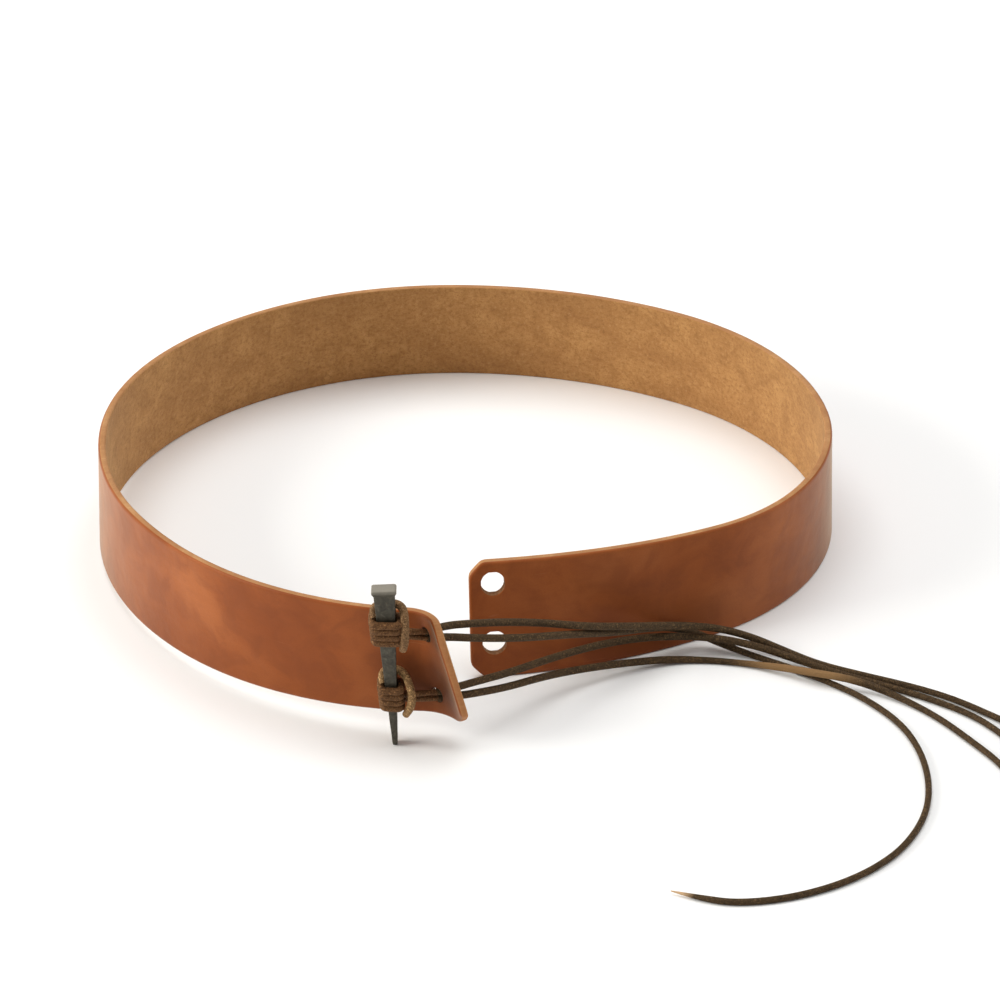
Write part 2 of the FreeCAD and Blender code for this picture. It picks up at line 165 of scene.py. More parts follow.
# ---- node helpers -------------------------------------------------------------------------
class Nodes:
    """A short way to write a material's node tree."""

    def __init__(self, name):
        self.material = bpy.data.materials.new(name)
        self.material.use_nodes = True
        self.tree = self.material.node_tree
        self.tree.nodes.clear()
        self.output = self.add("ShaderNodeOutputMaterial")

    def add(self, kind, inputs=None, **settings):
        node = self.tree.nodes.new(kind)
        for key, value in settings.items():
            setattr(node, key, value)
        for key, value in (inputs or {}).items():
            self.join(value, node.inputs[key])
        return node

    def join(self, value, socket):
        if isinstance(value, bpy.types.NodeSocket):
            self.tree.links.new(value, socket)
        else:
            socket.default_value = value

    def place(self, kind="Object", scale=(1.0, 1.0, 1.0)):
        """Texture place in millimetres: Object for the row frame, UV for along and up the strap."""
        source = self.add("ShaderNodeTexCoord").outputs[kind]
        mapping = self.add("ShaderNodeMapping", {"Vector": source})
        mapping.inputs["Scale"].default_value = [1000.0 * part for part in scale]
        return mapping.outputs[0]

    def near(self, place, reach, strength):
        """Mask: strength round a place in millimetres, fading to nothing at reach."""
        apart = self.add("ShaderNodeVectorMath", {0: self.place("Object"), 1: place},
                         operation="DISTANCE").outputs["Value"]
        return self.ramp(self.math("DIVIDE", apart, reach), ((0.5, strength), (1.0, 0.0)))

    def noise(self, where, scale, detail=3.0, rough=0.55, distortion=0.0):
        node = self.add("ShaderNodeTexNoise", {"Vector": where, "Scale": scale, "Detail": detail,
                                               "Roughness": rough, "Distortion": distortion})
        return node.outputs["Fac"]

    def cells(self, where, scale, feature="F1"):
        return self.add("ShaderNodeTexVoronoi", {"Vector": where, "Scale": scale},
                        feature=feature).outputs["Distance"]

    def ramp(self, value, stops):
        node = self.add("ShaderNodeValToRGB", {"Fac": value})
        elements = node.color_ramp.elements
        while len(elements) < len(stops):
            elements.new(0.5)
        for element, (place, colour) in zip(elements, stops):
            element.position = place
            parts = colour if isinstance(colour, tuple) else (colour,) * 3
            element.color = (*parts, 1.0)
        return node.outputs["Color"]

    def math(self, operation, first, second):
        node = self.add("ShaderNodeMath", operation=operation)
        self.join(first, node.inputs[0])
        self.join(second, node.inputs[1])
        return node.outputs[0]

    def mix(self, share, first, second):
        node = self.add("ShaderNodeMix", data_type="RGBA")
        self.join(share, node.inputs["Factor"])
        for value, socket in ((first, node.inputs[6]), (second, node.inputs[7])):
            self.join((*value, 1.0) if isinstance(value, tuple) else value, socket)
        return node.outputs[2]

    def bump(self, height, distance_mm, strength=1.0, normal=None):
        node = self.add("ShaderNodeBump", {"Height": height, "Distance": distance_mm * MM,
                                           "Strength": strength})
        if normal is not None:
            self.join(normal, node.inputs["Normal"])
        return node.outputs[0]

    def finish(self, **inputs):
        shader = self.add("ShaderNodeBsdfPrincipled")
        for key, value in inputs.items():
            if isinstance(value, tuple) and len(value) == 3:
                value = (*value, 1.0)
            self.join(value, shader.inputs[key.replace("_", " ")])
        self.join(shader.outputs[0], self.output.inputs["Surface"])
        return self.material


# ---- materials ----------------------------------------------------------------------------
# Local tints, each a place and how far it reaches: painted shade on the smooth side in the hollow
# between the nail and the curled tip, the browner cut edge of the left tip, the curled lace's cut
# end, a worn stretch.
SHADE_BESIDE_NAIL_PLACE, SHADE_BESIDE_NAIL_REACH = (-15.0, -140.5, 23.0), 17.0
TIP_PLACE, TIP_REACH = (0.0, -145.0, 22.0), 46.0
CUT_PLACE, CUT_REACH = (70.0, -231.9, FLOOR_Z), 8.5
WORN_PLACE, WORN_REACH = (122.0, -95.6, 3.4), 27.0


def grain_leather():
    """Smooth chestnut outside of the strap: fine pores, long faint streaks, soft blotches, painted
    shade beside the nail.
    """
    n = Nodes("strap_grain")
    uv = n.place("UV")
    streak = n.place("UV", (0.12, 1.0, 1.0))
    blotch = n.noise(uv, 0.018, 3.0, 0.5, 0.4)
    streaks = n.noise(streak, 0.35, 4.0, 0.6)
    cloud = n.noise(uv, 0.075, 4.0, 0.6, 0.8)
    fine = n.noise(uv, 1.6, 4.0, 0.6)
    up = n.add("ShaderNodeSeparateXYZ", {"Vector": uv}).outputs["Y"]
    base = n.ramp(blotch, ((0.32, (0.205, 0.047, 0.010)), (0.5, (0.305, 0.079, 0.017)),
                           (0.68, (0.40, 0.118, 0.031))))
    base = n.mix(n.math("MULTIPLY", streaks, 0.32), base, (0.19, 0.050, 0.014))
    base = n.mix(n.ramp(cloud, ((0.36, 0.34), (0.56, 0.0))), base, (0.155, 0.036, 0.010))
    # Painted shade: the smooth side darker towards the bottom edge.
    low = n.ramp(n.math("DIVIDE", up, STRAP_HEIGHT), ((0.0, 0.26), (0.7, 0.0)))
    base = n.mix(low, base, (0.17, 0.040, 0.011))
    base = n.mix(n.ramp(fine, ((0.35, 0.22), (0.75, 0.0))), base, (0.15, 0.038, 0.012))
    # Painted shade: the smooth side darkened round the hollow between the nail and the curled tip.
    base = n.mix(n.near(SHADE_BESIDE_NAIL_PLACE, SHADE_BESIDE_NAIL_REACH, 0.72), base, (0.075, 0.017, 0.004))
    pores = n.cells(uv, 1.15)
    pore_mask = n.ramp(pores, ((0.03, 1.0), (0.16, 0.0)))
    base = n.mix(n.math("MULTIPLY", pore_mask, 0.35), base, (0.12, 0.030, 0.010))
    scratch = n.cells(n.place("UV", (0.05, 0.9, 1.0)), 0.12, "DISTANCE_TO_EDGE")
    scratch_mask = n.math("MULTIPLY", n.ramp(scratch, ((0.0, 1.0), (0.006, 0.0))),
                          n.ramp(n.noise(uv, 0.05), ((0.6, 0.0), (0.7, 1.0))))
    base = n.mix(n.math("MULTIPLY", scratch_mask, 0.35), base, (0.50, 0.24, 0.12))
    creases = n.cells(uv, 0.62, "SMOOTH_F1")
    relief = n.math("ADD", n.math("MULTIPLY", creases, 0.5), n.math("MULTIPLY", fine, 0.6))
    relief = n.math("SUBTRACT", relief, n.math("MULTIPLY", pore_mask, 0.5))
    normal = n.bump(relief, 0.10, 0.35)
    normal = n.bump(n.noise(uv, 0.06, 2.0), 0.9, 0.35, normal)
    rough = n.math("ADD", n.math("MULTIPLY", fine, 0.16), 0.36)
    return n.finish(Base_Color=base, Roughness=rough, Normal=normal, Specular_IOR_Level=0.10,
                    Sheen_Weight=0.42, Sheen_Roughness=0.35, Sheen_Tint=(0.90, 0.93, 0.72))


def flesh_leather():
    """Suede inside of the strap: tan, mottled, with short darker fibres."""
    n = Nodes("strap_suede")
    uv = n.place("UV")
    mottle = n.noise(uv, 0.11, 4.0, 0.65, 0.6)
    speck = n.noise(uv, 0.55, 4.0, 0.75)
    grit = n.noise(uv, 2.0, 2.0, 0.6)
    patch = n.noise(n.place("UV", (0.6, 1.0, 1.0)), 0.035, 3.0, 0.55)
    base = n.ramp(mottle, ((0.32, (0.335, 0.158, 0.048)), (0.5, (0.41, 0.202, 0.065)),
                           (0.68, (0.48, 0.250, 0.084))))
    base = n.mix(n.ramp(patch, ((0.38, 0.40), (0.58, 0.0))), base, (0.29, 0.128, 0.038))
    base = n.mix(n.ramp(speck, ((0.36, 0.60), (0.50, 0.0))), base, (0.22, 0.096, 0.030))
    base = n.mix(n.ramp(speck, ((0.56, 0.0), (0.72, 0.40))), base, (0.60, 0.36, 0.15))
    base = n.mix(n.ramp(grit, ((0.3, 0.4), (0.5, 0.0))), base, (0.20, 0.09, 0.034))
    fibre = n.noise(n.place("UV", (0.35, 1.0, 1.0)), 1.5, 3.0, 0.6, 1.2)
    relief = n.math("ADD", n.math("MULTIPLY", speck, 0.7), n.math("MULTIPLY", fibre, 0.6))
    normal = n.bump(relief, 0.35, 0.55)
    return n.finish(Base_Color=base, Roughness=0.95, Normal=normal, Specular_IOR_Level=0.15,
                    Sheen_Weight=0.22, Sheen_Roughness=0.6, Sheen_Tint=(0.9, 0.72, 0.5))


def edge_leather():
    """Cut edge of the strap: pale tan with fine fibres that run along it."""
    n = Nodes("strap_edge")
    along = n.place("UV", (0.08, 1.0, 1.0))
    where = n.place("Object")
    lines = n.noise(along, 0.9, 4.0, 0.7)
    wear = n.noise(where, 0.16, 3.0, 0.6)
    fibres = n.noise(where, 1.3, 3.0, 0.7)
    base = n.ramp(lines, ((0.3, (0.33, 0.145, 0.052)), (0.55, (0.43, 0.212, 0.084)),
                          (0.75, (0.52, 0.295, 0.132))))
    base = n.mix(n.ramp(wear, ((0.42, 0.0), (0.68, 0.6))), base, (0.33, 0.150, 0.062))
    base = n.mix(n.ramp(fibres, ((0.3, 0.45), (0.5, 0.0))), base, (0.26, 0.115, 0.048))
    base = n.mix(n.near(TIP_PLACE, TIP_REACH, 0.6), base, (0.37, 0.135, 0.040))
    relief = n.math("ADD", lines, fibres)
    return n.finish(Base_Color=base, Roughness=0.72, Normal=n.bump(relief, 0.22, 0.5),
                    Specular_IOR_Level=0.25)


def hole_leather():
    """Wall of a punched hole: darker than the cut edge, rubbed by the lace."""
    n = Nodes("strap_hole")
    fibres = n.noise(n.place("Object"), 1.1, 3.0, 0.7)
    base = n.ramp(fibres, ((0.35, (0.15, 0.062, 0.024)), (0.65, (0.32, 0.155, 0.068))))
    return n.finish(Base_Color=base, Roughness=0.75, Normal=n.bump(fibres, 0.2, 0.5),
                    Specular_IOR_Level=0.2)


def lace_leather(name, dark, light, share, tint=None):
    """Leather lace: fibres, dark pits, a few pale scuffs and, if given, one local tint."""
    n = Nodes(name)
    where = n.place("Object")
    broad = n.noise(where, 0.09, 3.0, 0.6)
    fibre = n.noise(where, 0.75, 4.0, 0.75, 1.5)
    fine = n.noise(where, 2.6, 3.0, 0.7)
    base = n.mix(n.ramp(fibre, ((0.38, 0.0), (0.68, share))), dark, light)
    middle = tuple(0.5 * (a + b) for a, b in zip(dark, light))
    pit = tuple(0.30 * part for part in dark)
    pale = tuple(1.7 * part for part in light)
    base = n.mix(n.ramp(broad, ((0.4, 0.0), (0.62, 0.45))), base, middle)
    base = n.mix(n.ramp(fine, ((0.36, 0.8), (0.54, 0.0))), base, pit)
    scuff = n.noise(where, 1.6, 2.0, 0.5)
    base = n.mix(n.ramp(scuff, ((0.58, 0.0), (0.70, 0.7 * share))), base, pale)
    if tint:
        place, reach, colour, strength = tint
        base = n.mix(n.near(place, reach, strength), base, colour)
    relief = n.math("ADD", fibre, n.math("MULTIPLY", fine, 0.8))
    return n.finish(Base_Color=base, Roughness=0.7, Normal=n.bump(relief, 0.28, 0.6),
                    Specular_IOR_Level=0.14)


def dark_iron():
    """Cut nail: dull dark iron with blotches, a few rust spots and a brighter, rubbed crown."""
    n = Nodes("nail_iron")
    where = n.place("Object")
    scale = n.noise(where, 0.5, 5.0, 0.65, 0.8)
    spots = n.noise(where, 1.8, 3.0, 0.6)
    streak = n.noise(n.place("Object", (1.0, 1.0, 0.12)), 1.1, 3.0, 0.6)
    base = n.ramp(scale, ((0.3, (0.030, 0.026, 0.018)), (0.55, (0.062, 0.055, 0.039)),
                          (0.75, (0.112, 0.101, 0.076))))
    base = n.mix(n.ramp(spots, ((0.62, 0.0), (0.72, 0.55))), base, (0.11, 0.062, 0.034))
    height = n.add("ShaderNodeSeparateXYZ", {"Vector": where}).outputs["Z"]
    above = n.math("SUBTRACT", height, CROWN_FROM)
    crown = n.ramp(n.math("DIVIDE", above, CROWN_HEIGHT), ((0.35, 0.0), (0.8, 1.0)))
    base = n.mix(n.math("MULTIPLY", crown, 0.8), base, (0.27, 0.245, 0.20))
    relief = n.math("ADD", scale, n.math("MULTIPLY", streak, 0.7))
    rough = n.math("ADD", n.math("MULTIPLY", spots, 0.3), 0.36)
    return n.finish(Base_Color=base, Metallic=0.20, Roughness=rough,
                    Normal=n.bump(relief, 0.25, 0.6), Specular_IOR_Level=0.30)


# ---- laces: the cords come first ----------------------------------------------------------
def curve_object(name, points, radius, material, radii=None):
    """A round lace: a smooth NURBS line drawn by control points in millimetres."""
    data = bpy.data.curves.new(name, "CURVE")
    data.dimensions = "3D"
    data.bevel_depth = radius * MM
    data.bevel_resolution = 4
    data.resolution_u = 8
    data.use_fill_caps = True
    spline = data.splines.new("NURBS")
    spline.points.add(len(points) - 1)
    for index, place in enumerate(points):
        spline.points[index].co = (place[0] * MM, place[1] * MM, place[2] * MM, 1.0)
        spline.points[index].radius = radii[index] if radii else 1.0
    spline.order_u = 3
    spline.use_endpoint_u = True
    data.materials.append(material)
    piece = bpy.data.objects.new(name, data)
    bpy.context.scene.collection.objects.link(piece)
    return piece


def coil_points(coil):
    """Spare lace from where it joins its coil, winding inward a lace's width at each turn."""
    x, y, join, turns = coil
    points = []
    for index in range(int(turns * 360.0 / COIL_STEP) + 1):
        turned = index * COIL_STEP
        angle = math.radians(join + turned)
        radius = COIL_OUTER_TURN - LACE * turned / 360.0
        points.append((x + radius * math.cos(angle), y + radius * math.sin(angle), FLOOR_Z))
    return points


def tail(name, start, route, material, nodes, coil=None):
    """One tail of a lace from its hole to its end, which is cut to a point or lies in a coil."""
    points = [start, *route, *(coil_points(coil) if coil else ())]
    radii = [RESTING if place[2] == FLOOR_Z else 1.0 for place in points]
    if not coil:
        radii[-1] = CUT_POINT
    piece = curve_object(name, points, LACE / 2.0, material, radii)
    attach(piece, "left_wing")
    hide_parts(*nodes)


CUT_TAN = (0.52, 0.34, 0.19)
WORN_TAN = (0.30, 0.17, 0.072)
LACE_DARK = (0.036, 0.021, 0.009)
LACE_LIGHT = (0.135, 0.080, 0.036)
tail_leather = lace_leather("lace_dark", LACE_DARK, LACE_LIGHT, 0.8)
curled_leather = lace_leather("lace_dark_cut", LACE_DARK, LACE_LIGHT, 0.8,
                              (CUT_PLACE, CUT_REACH, CUT_TAN, 1.0))
worn_leather = lace_leather("lace_dark_worn", LACE_DARK, LACE_LIGHT, 0.8,
                            (WORN_PLACE, WORN_REACH, WORN_TAN, 0.75))
tail("upper_tail_curled_lace", CURLED_START, UPPER_CURLED_ROUTE, curled_leather,
     ["upper_tail_curled"])
tail("upper_tail_straight_lace", STRAIGHT_START, UPPER_STRAIGHT_ROUTE, tail_leather,
     ["upper_tail_straight", "upper_tail_coil"], UPPER_COIL)
tail("lower_tail_high_lace", HIGH_START, LOWER_HIGH_ROUTE, tail_leather,
     ["lower_tail_high", "lower_high_coil"], LOWER_HIGH_COIL)
tail("lower_tail_low_lace", LOW_START, LOWER_LOW_ROUTE, worn_leather,
     ["lower_tail_low", "lower_low_coil"], LOWER_LOW_COIL)


# ---- the strap ----------------------------------------------------------------------------
def smooth_step(value):
    value = min(max(value, 0.0), 1.0)
    return value * value * (3.0 - 2.0 * value)


def arcs_of(side, height):
    """Arcs of one half, (length, radius) each, at a height from 0, the bottom edge, to 1."""
    if side == "right":
        rest = RIGHT_LENGTH - sum(length for length, _ in RIGHT_ARCS)
        return RIGHT_ARCS + ((rest, RIGHT_LAST_RADIUS),)
    curl, radius = [low + (high - low) * height for low, high in zip(CURL_BOTTOM, CURL_TOP)]
    rest = LEFT_LENGTH - curl - sum(length for length, _ in LEFT_ARCS)
    return LEFT_ARCS + ((rest, LEFT_LAST_RADIUS), (curl, -radius))


def plan_point(side, distance, height):
    """Plan place and outward normal of the strap's middle plane, `distance` from mid-back."""
    along, inward, turned = 0.0, 0.0, 0.0
    left = distance
    arcs = arcs_of(side, height)
    for index, (length, radius) in enumerate(arcs):
        step = left if index == len(arcs) - 1 else min(left, length)
        after = turned + step / radius
        along += radius * (math.sin(after) - math.sin(turned))
        inward += radius * (math.cos(turned) - math.cos(after))
        turned = after
        left -= step
        if left <= 0.0:
            break
    sign = 1.0 if side == "right" else -1.0
    place = Vector((MID_BACK[0] + sign * along, MID_BACK[1] - inward, 0.0))
    return place, Vector((sign * math.sin(turned), math.cos(turned), 0.0))


def lean_at(side, distance):
    """How far the strap leans outward, in radians."""
    if distance < FLEX_AT:
        fade = (1.0 + math.cos(math.pi * distance / FLEX_AT)) / 2.0
        return math.radians(BACK_LEAN) * max(fade, 0.0) ** LEAN_FADE
    length, lean = {"left": (LEFT_LENGTH, LEFT_END_LEAN),
                    "right": (RIGHT_LENGTH, RIGHT_END_LEAN)}[side]
    return math.radians(lean) * smooth_step((distance - FLEX_AT) / (length - FLEX_AT))


def lift_at(side, distance):
    """How far the strap's bottom edge is off the floor, and the slope of that edge."""
    if side == "right" or distance < LIFT_START:
        return 0.0, 0.0
    reach = (distance - LIFT_START) / (LEFT_LENGTH - LIFT_START)
    return LEFT_LIFT * reach ** 1.5, 1.5 * LEFT_LIFT * reach ** 0.5 / (LEFT_LENGTH - LIFT_START)


def strap_point(side, distance, up, depth=0.0):
    """A point of the strap: `distance` along it, `up` its width and `depth` outward, in mm."""
    lift, slope = lift_at(side, distance)
    lean = lean_at(side, distance)
    place, outward = plan_point(side, distance - up * slope, up / STRAP_HEIGHT)
    place = place + outward * (up * math.sin(lean) + depth)
    return place + Vector((0.0, 0.0, lift + up * math.cos(lean)))


# Rounded edge of the strap: depth outward from its middle, and how far in from the cut edge.
EDGE_PROFILE = ((-1.50, 1.60), (-1.50, 0.62), (-1.36, 0.26), (-1.10, 0.07), (-0.60, 0.0),
                (0.25, 0.0), (0.88, 0.08), (1.27, 0.32), (1.50, 0.78), (1.50, 1.60))
# Material slots of the strap, and those of the stretches of the profile along its edge and in
# its holes, from the suede side to the smooth one.
GRAIN, SUEDE, CUT_EDGE, HOLE_WALL = range(4)
EDGE_SLOTS = (SUEDE,) * 2 + (CUT_EDGE,) * 4 + (GRAIN,) * 3
HOLE_SLOTS = (SUEDE,) + (HOLE_WALL,) * 6 + (GRAIN,) * 2
HOLE_FLARE = 0.35                # how far the rounding of a hole's rim opens it out
CIRCLE_STEPS = 40
FINE_END = 42.0                  # the last stretch of each wing has closer points
COARSE_STEP = 2.6
FINE_STEP = 1.2
ROWS = 20
SLANT_STEPS = 6                  # steps along a cut corner, and up the end between two of them
END_STEPS = 30
CORNER_BLEND = 12.0              # stretch before a cut corner over which the inset line shifts
CORNER_ROUND = 3.0               # stretch before a cut corner that is rounded with it
EXTRA_COLUMNS = (1.2, 2.4, 3.6)  # columns of inner points past the start of the cut corner
EDGE_CLEAR = 1.0                 # inner points keep this far from the outline and the holes
HOLE_CLEAR = 0.7


def strap_stations(length, clip):
    """Distances along the bottom edge from mid-back to the cut corner, closer near the end."""
    fine_from = length - FINE_END
    steps = round(fine_from / COARSE_STEP)
    coarse = [fine_from * step / steps for step in range(steps)]
    fine_to = length - clip
    count = round((fine_to - fine_from) / FINE_STEP)
    return coarse + [fine_from + (fine_to - fine_from) * step / count for step in range(count + 1)]


def strap_outline(length, clip, inset):
    """Edge of the flat pattern from mid-back along the bottom, round the end and back."""
    shift = (math.sqrt(2.0) - 1.0) * inset
    end, top = length - inset, STRAP_HEIGHT - inset
    bottom = []
    for along in strap_stations(length, clip):
        near_end = smooth_step((along - (length - clip - CORNER_BLEND)) / CORNER_BLEND)
        bottom.append((along - shift * near_end, inset))
    start, start_up = bottom[-1]
    corner_up = clip + shift
    rise_by = STRAP_HEIGHT - clip - shift - corner_up
    slant = [(start + (end - start) * k / SLANT_STEPS,
              start_up + (corner_up - start_up) * k / SLANT_STEPS) for k in range(1, SLANT_STEPS)]
    rise = [(end, corner_up + rise_by * k / END_STEPS) for k in range(END_STEPS + 1)]
    points = bottom + slant + rise
    points += [(along, STRAP_HEIGHT - up) for along, up in reversed(slant)]
    points += [(along, top) for along, _ in reversed(bottom)]
    # Cut corners of leather are a little rounded.
    for _ in range(2):
        points = [points[0]] + [
            tuple((a + 2.0 * b + c) / 4.0 for a, b, c in zip(points[k - 1], points[k], points[k + 1]))
            if points[k][0] > length - clip - CORNER_ROUND else points[k]
            for k in range(1, len(points) - 1)] + [points[-1]]
    return points


def edge_rings(flat, length, holes, clip):
    """Adds the outline and the holes' rims to `flat` at each level of the edge's profile."""
    from_end, heights, hole_radius, narrow = holes
    outlines, rims = [], [[] for _ in heights]
    for depth, inset in EDGE_PROFILE:
        outline = strap_outline(length, clip, inset)
        outlines.append(range(len(flat), len(flat) + len(outline)))
        flat += [(along, up, depth) for along, up in outline]
        radius = hole_radius + inset * HOLE_FLARE
        for rim, height in zip(rims, heights):
            rim.append(range(len(flat), len(flat) + CIRCLE_STEPS))
            for index in range(CIRCLE_STEPS):
                angle = 2.0 * math.pi * index / CIRCLE_STEPS
                flat.append((length - from_end + narrow * radius * math.cos(angle),
                             height + radius * math.sin(angle), depth))
    return outlines, rims


def edge_faces(outlines, rims):
    """Faces of the rounded edge and of the holes' walls, each with its material slot."""
    faces = []
    for level, (slot, hole_slot) in enumerate(zip(EDGE_SLOTS, HOLE_SLOTS)):
        low, high = outlines[level], outlines[level + 1]
        for index in range(len(low) - 1):
            faces.append(((low[index], low[index + 1], high[index + 1], high[index]), slot))
        for rim in rims:
            low, high = rim[level], rim[level + 1]
            for index in range(CIRCLE_STEPS):
                after = (index + 1) % CIRCLE_STEPS
                faces.append(((low[after], low[index], high[index], high[after]), hole_slot))
    return faces


def side_faces(flat, length, holes, clip, level, outlines, rims):
    """Triangles of the strap's smooth or suede side, with inner points so that it can bend."""
    from_end, heights, hole_radius, narrow = holes
    depth = EDGE_PROFILE[level][0]
    inset = EDGE_PROFILE[0][1]

    def from_hole(along, up):
        away = (along - length + from_end) / narrow
        return min(math.hypot(away, up - height) for height in heights)

    rows = [inset + (STRAP_HEIGHT - 2.0 * inset) * row / ROWS for row in range(1, ROWS)]
    used = [*outlines[level], *range(len(flat), len(flat) + len(rows))]
    flat += [(0.0, up, depth) for up in reversed(rows)]
    edges = [(index, (index + 1) % len(used)) for index in range(len(used))]
    for rim in rims:
        first = len(used)
        used += rim[level]
        edges += [(first + index, first + (index + 1) % CIRCLE_STEPS)
                  for index in range(CIRCLE_STEPS)]
    corner_limit = length + STRAP_HEIGHT / 2.0 - clip - 1.5 * inset - EDGE_CLEAR
    hole_limit = hole_radius + inset * HOLE_FLARE + HOLE_CLEAR
    columns = strap_stations(length, clip)[1:] + [length - clip + extra for extra in EXTRA_COLUMNS]
    for along in columns:
        for up in rows:
            in_corner = along + abs(up - STRAP_HEIGHT / 2.0) > corner_limit
            at_end = along > length - inset - EDGE_CLEAR
            if not (in_corner or at_end or from_hole(along, up) < hole_limit):
                used.append(len(flat))
                flat.append((along, up, depth))
    places = [Vector(flat[index][:2]) for index in used]
    _, _, triangles, sources, _, _ = geometry.delaunay_2d_cdt(places, edges, [], 1, 1e-5)
    faces = []
    for triangle in triangles:
        corners = tuple(used[sources[index][0]] for index in triangle)
        along = sum(flat[index][0] for index in corners) / 3.0
        up = sum(flat[index][1] for index in corners) / 3.0
        if from_hole(along, up) >= hole_radius:
            faces.append(corners)
    return faces


def strap_half(name, side, length, holes, clip):
    """Half of the strap as a bent mesh with rounded edges, from mid-back to its end."""
    flat = []
    outlines, rims = edge_rings(flat, length, holes, clip)
    faces = edge_faces(outlines, rims)
    for level, slot in ((0, SUEDE), (len(EDGE_PROFILE) - 1, GRAIN)):
        flat_side = side_faces(flat, length, holes, clip, level, outlines, rims)
        faces += [(corners, slot) for corners in flat_side]
    mesh = bpy.data.meshes.new(name)
    mesh.from_pydata([strap_point(side, *place) * MM for place in flat], [],
                     [corners for corners, _ in faces])
    for polygon, (_, slot) in zip(mesh.polygons, faces):
        polygon.material_index = slot
    layer = mesh.uv_layers.new(name="pattern")
    direction = 1.0 if side == "right" else -1.0
    for loop in mesh.loops:
        along, up, _ = flat[loop.vertex_index]
        layer.data[loop.index].uv = (along * direction * MM, up * MM)
    mesh.shade_smooth()
    piece = bpy.data.objects.new(name, mesh)
    bpy.context.scene.collection.objects.link(piece)
    return piece


def face_outward(piece):
    """Turns the faces so that the smooth side looks away from the middle of the loop."""
    work = bmesh.new()
    work.from_mesh(piece.data)
    bmesh.ops.recalc_face_normals(work, faces=work.faces)
    total = 0.0
    centre = Vector((0.0, 0.0, 0.02))
    for face in work.faces:
        if face.material_index == GRAIN:
            total += face.normal.dot(face.calc_center_median() - centre) * face.calc_area()
    if total < 0.0:
        bmesh.ops.reverse_faces(work, faces=work.faces)
    work.to_mesh(piece.data)
    work.free()


grain, suede, cut_edge, hole_wall = grain_leather(), flesh_leather(), edge_leather(), hole_leather()
for side, length, holes, clip, wing in (
        ("left", LEFT_LENGTH, LEFT_HOLES, LEFT_CORNER_CLIP, "left_wing"),
        ("right", RIGHT_LENGTH, RIGHT_HOLES, RIGHT_CORNER_CLIP, "right_wing")):
    half = strap_half("strap_" + side + "_half", side, length, holes, clip)
    for material in (grain, suede, cut_edge, hole_wall):
        half.data.materials.append(material)
    face_outward(half)
    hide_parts("strap_back", "strap_" + side)
    strap_point(side, FLEX_AT - BEND_REACH, STRAP_HEIGHT / 2.0) * MM
    strap_point(side, FLEX_AT + BEND_REACH, STRAP_HEIGHT / 2.0) * MM
    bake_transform(half)


# ---- the nail -----------------------------------------------------------------------------
NAIL_TURN = (Matrix.Rotation(math.radians(-NAIL_SIDE_TILT), 3, "Y")
             @ Matrix.Rotation(math.radians(NAIL_LEAN), 3, "X"))
SHANK_LEVELS = 46
# Rings of the nail's head: share of the way from shank to head size in width and in thickness,
# height above the neck, roundness of the corners.
HEAD_RINGS = ((0.0, 0.0, 0.0, 0.35), (0.38, 0.42, 0.45, 0.4), (0.92, 0.92, 1.15, 0.5),
              (1.0, 1.0, 1.55, 0.55))
# Rings of its worn top edge: how much narrower and thinner, how far below the top, roundness.
TOP_RINGS = ((0.1, 0.1, 0.42, 0.55), (0.55, 0.5, 0.1, 0.6), (2.0, 1.6, 0.06, 0.7))


def on_nail(across, depth, up):
    """A place given by the nail's own directions from the middle of its point."""
    return NAIL_POINT + NAIL_TURN @ Vector((across, depth, up))


def nail_width(up):
    return NAIL_TIP_WIDTH + (NAIL_TOP_WIDTH - NAIL_TIP_WIDTH) * up / NAIL_LENGTH


def nail_ring(width, thick, up, bevel):
    """Rounded rectangle across the nail."""
    points = []
    for a, b, turn in ((1, -1, -90), (1, 1, 0), (-1, 1, 90), (-1, -1, 180)):
        for step in range(4):
            angle = math.radians(turn + 30.0 * step)
            x = a * (width / 2.0 - bevel) + bevel * math.cos(angle)
            y = b * (thick / 2.0 - bevel) + bevel * math.sin(angle)
            points.append(on_nail(x, y, up))
    return points


